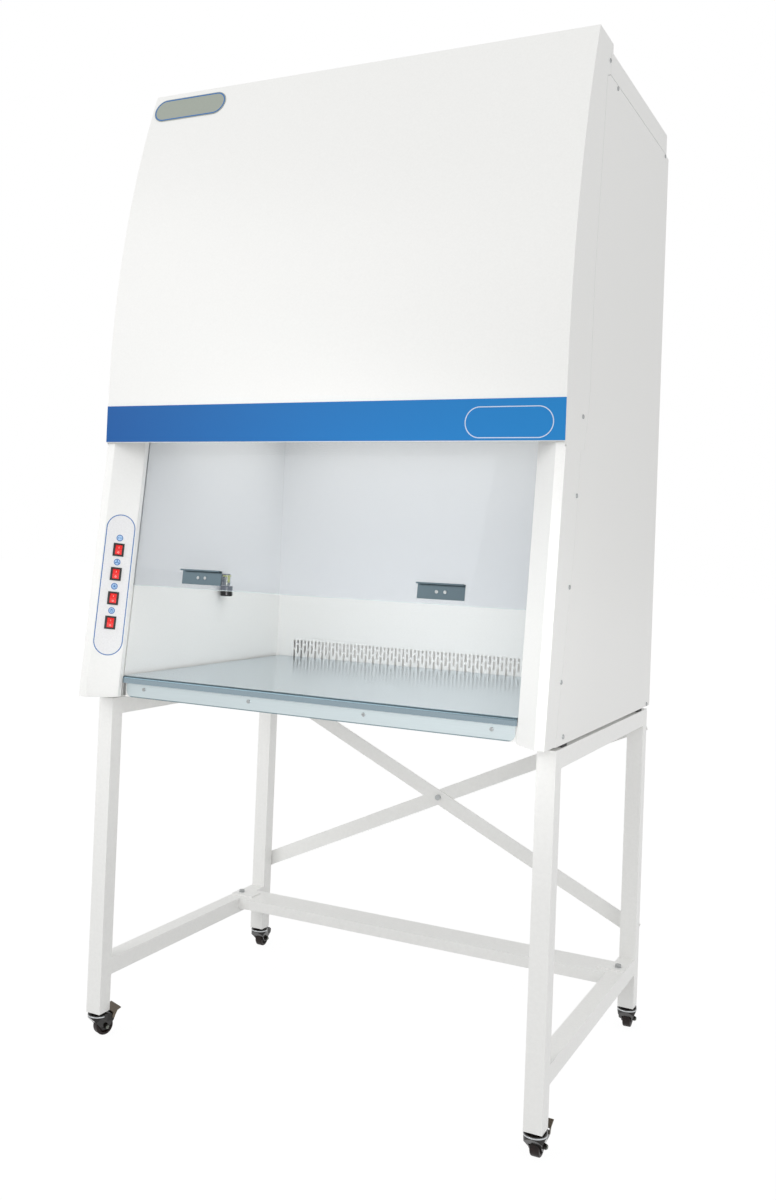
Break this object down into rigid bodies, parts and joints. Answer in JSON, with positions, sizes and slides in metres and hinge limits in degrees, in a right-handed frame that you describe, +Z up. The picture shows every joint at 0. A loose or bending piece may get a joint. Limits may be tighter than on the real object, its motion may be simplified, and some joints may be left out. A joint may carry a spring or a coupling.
{
  "type": "laminar flow cabinet",
  "caption": "Vertical laminar flow cabinet: curved front cover, sliding glass sash, stainless worktop, filtered air box and blower, on a tubular stand with swivel casters",
  "frame": {"origin": "on the floor, in the middle of the overall width and depth", "axes": "+Z up, the user stands at -Y, +X is the user's right"},
  "size_m": [1.007, 0.828, 2.052],
  "materials": {
    "white_powder_coat": "smooth white powder coat, satin",
    "white_enamel": "white coated inner sheet",
    "stand_white": "white powder coated square tube",
    "blue_band": "blue printed band, satin",
    "brushed_stainless": "fine brushed stainless sheet",
    "galvanised": "zinc coated sheet",
    "zinc_bolts": "zinc plated bolts",
    "clear_glass": "clear tempered glass, polished edges",
    "black_plastic": "moulded black plastic, semi gloss",
    "caster_steel": "black chrome pressed steel",
    "caster_tread": "dark brown moulded wheel",
    "pale_label": "printed plastic film, pale",
    "filter_media": "pleated glass fibre filter pack",
    "filter_frame": "extruded aluminium frame",
    "lamp_glass": "milky glass tube",
    "motor_grey": "dark grey painted motor",
    "badge_grey": "grey olive printed plate, blue edge",
    "tap_chrome": "polished plated brass",
    "grey_pad": "dark rubber pad"
  },
  "bodies": {
    "cabinet": {"badge_plate": "badge_grey", "base_pan": "white_powder_coat", "blower_housing": "galvanised", "blower_motor": "motor_grey", "brace_bars": "stand_white", "cabinet_pads": "grey_pad", "cable_gland": "black_plastic", "caster_sockets": "black_plastic", "ceiling_ledges": "white_enamel", "chamber_back_wall": "white_enamel", "chamber_side_walls": "white_enamel", "control_cover": "white_powder_coat", "control_label": "pale_label", "cross_member": "stand_white", "diffuser_panel": "white_enamel", "front_band": "blue_band", "front_cover": "white_powder_coat", "front_strip": "galvanised", "lamp_holders": "white_enamel", "lamp_tubes": "lamp_glass", "left_jamb": "white_powder_coat", "left_side_panel": "white_powder_coat", "left_stand_frame": "stand_white", "lid": "white_powder_coat", "lid_rails": "galvanised", "main_filter_frame": "filter_frame", "main_filter_pack": "filter_media", "pre_filter_frame": "filter_frame", "pre_filter_pad": "filter_media", "pressure_box": "galvanised", "rear_panel": "white_powder_coat", "return_grille": "white_enamel", "right_jamb": "white_powder_coat", "right_side_panel": "white_powder_coat", "right_stand_frame": "stand_white", "sash_guides": "galvanised", "stand_bolts": "zinc_bolts", "switch_housings": "black_plastic", "tap_body": "tap_chrome", "worktop": "brushed_stainless", "worktop_ribs": "galvanised"},
    "sash": {"sash_glass": "clear_glass", "sash_handles": "brushed_stainless"},
    "blower_rotor": {"blower_wheel": "galvanised"},
    "rocker_1": {"rocker_1": "black_plastic"},
    "rocker_2": {"rocker_2": "black_plastic"},
    "rocker_3": {"rocker_3": "black_plastic"},
    "rocker_4": {"rocker_4": "black_plastic"},
    "tap_knob": {"tap_knob": "black_plastic"},
    "swivel_front_left": {"caster_fork_front_left": "caster_steel"},
    "roller_front_left": {"caster_wheel_front_left": "caster_tread"},
    "pedal_front_left": {"brake_pedal_front_left": "caster_steel"},
    "swivel_front_right": {"caster_fork_front_right": "caster_steel"},
    "roller_front_right": {"caster_wheel_front_right": "caster_tread"},
    "pedal_front_right": {"brake_pedal_front_right": "caster_steel"},
    "swivel_rear_left": {"caster_fork_rear_left": "caster_steel"},
    "roller_rear_left": {"caster_wheel_rear_left": "caster_tread"},
    "swivel_rear_right": {"caster_fork_rear_right": "caster_steel"},
    "roller_rear_right": {"caster_wheel_rear_right": "caster_tread"}
  },
  "joints": [
    {"name": "sash_slide", "type": "slide", "parent": "cabinet", "child": "sash", "axis": [0, 0.1172, 0.9931], "range_m": [-0.185, 0.245]},
    {"name": "blower_spin", "type": "hinge", "parent": "cabinet", "child": "blower_rotor", "pos_m": [0.03, 0.068, 1.784], "axis": [1, 0, 0], "continuous": true},
    {"name": "rocker_1_tilt", "type": "hinge", "parent": "cabinet", "child": "rocker_1", "pos_m": [-0.45737, -0.37357, 0.88417], "axis": [-0.7095, -0.6998, 0.0826], "range_deg": [0, 18]},
    {"name": "rocker_2_tilt", "type": "hinge", "parent": "cabinet", "child": "rocker_2", "pos_m": [-0.45737, -0.36755, 0.93522], "axis": [-0.7095, -0.6998, 0.0826], "range_deg": [0, 18]},
    {"name": "rocker_3_tilt", "type": "hinge", "parent": "cabinet", "child": "rocker_3", "pos_m": [-0.45737, -0.36152, 0.98626], "axis": [-0.7095, -0.6998, 0.0826], "range_deg": [0, 18]},
    {"name": "rocker_4_tilt", "type": "hinge", "parent": "cabinet", "child": "rocker_4", "pos_m": [-0.45737, -0.3555, 1.03731], "axis": [-0.7095, -0.6998, 0.0826], "range_deg": [0, 18]},
    {"name": "tap_turn", "type": "hinge", "parent": "cabinet", "child": "tap_knob", "pos_m": [-0.425, 0.029, 0.945], "axis": [0, 0, 1], "range_deg": [0, 270]},
    {"name": "swivel_front_left", "type": "hinge", "parent": "cabinet", "child": "swivel_front_left", "pos_m": [-0.4825, -0.3255, 0.06], "axis": [0, 0, 1], "continuous": true},
    {"name": "roll_front_left", "type": "hinge", "parent": "swivel_front_left", "child": "roller_front_left", "pos_m": [-0.47726, -0.31252, 0.02], "axis": [0.9272, -0.3746, 0], "continuous": true},
    {"name": "pedal_front_left", "type": "hinge", "parent": "swivel_front_left", "child": "pedal_front_left", "pos_m": [-0.47201, -0.29954, 0.039], "axis": [-0.9272, 0.3746, 0], "range_deg": [0, 22]},
    {"name": "swivel_front_right", "type": "hinge", "parent": "cabinet", "child": "swivel_front_right", "pos_m": [0.4825, -0.3255, 0.06], "axis": [0, 0, 1], "continuous": true},
    {"name": "roll_front_right", "type": "hinge", "parent": "swivel_front_right", "child": "roller_front_right", "pos_m": [0.4825, -0.3115, 0.02], "axis": [1, 0, 0], "continuous": true},
    {"name": "pedal_front_right", "type": "hinge", "parent": "swivel_front_right", "child": "pedal_front_right", "pos_m": [0.4825, -0.2975, 0.039], "axis": [-1, 0, 0], "range_deg": [0, 22]},
    {"name": "swivel_rear_left", "type": "hinge", "parent": "cabinet", "child": "swivel_rear_left", "pos_m": [-0.4825, 0.3535, 0.06], "axis": [0, 0, 1], "continuous": true},
    {"name": "roll_rear_left", "type": "hinge", "parent": "swivel_rear_left", "child": "roller_rear_left", "pos_m": [-0.4825, 0.3675, 0.02], "axis": [1, 0, 0], "continuous": true},
    {"name": "swivel_rear_right", "type": "hinge", "parent": "cabinet", "child": "swivel_rear_right", "pos_m": [0.4825, 0.3535, 0.06], "axis": [0, 0, 1], "continuous": true},
    {"name": "roll_rear_right", "type": "hinge", "parent": "swivel_rear_right", "child": "roller_rear_right", "pos_m": [0.48152, 0.36747, 0.02], "axis": [0.9976, 0.0698, 0], "continuous": true}
  ]
}
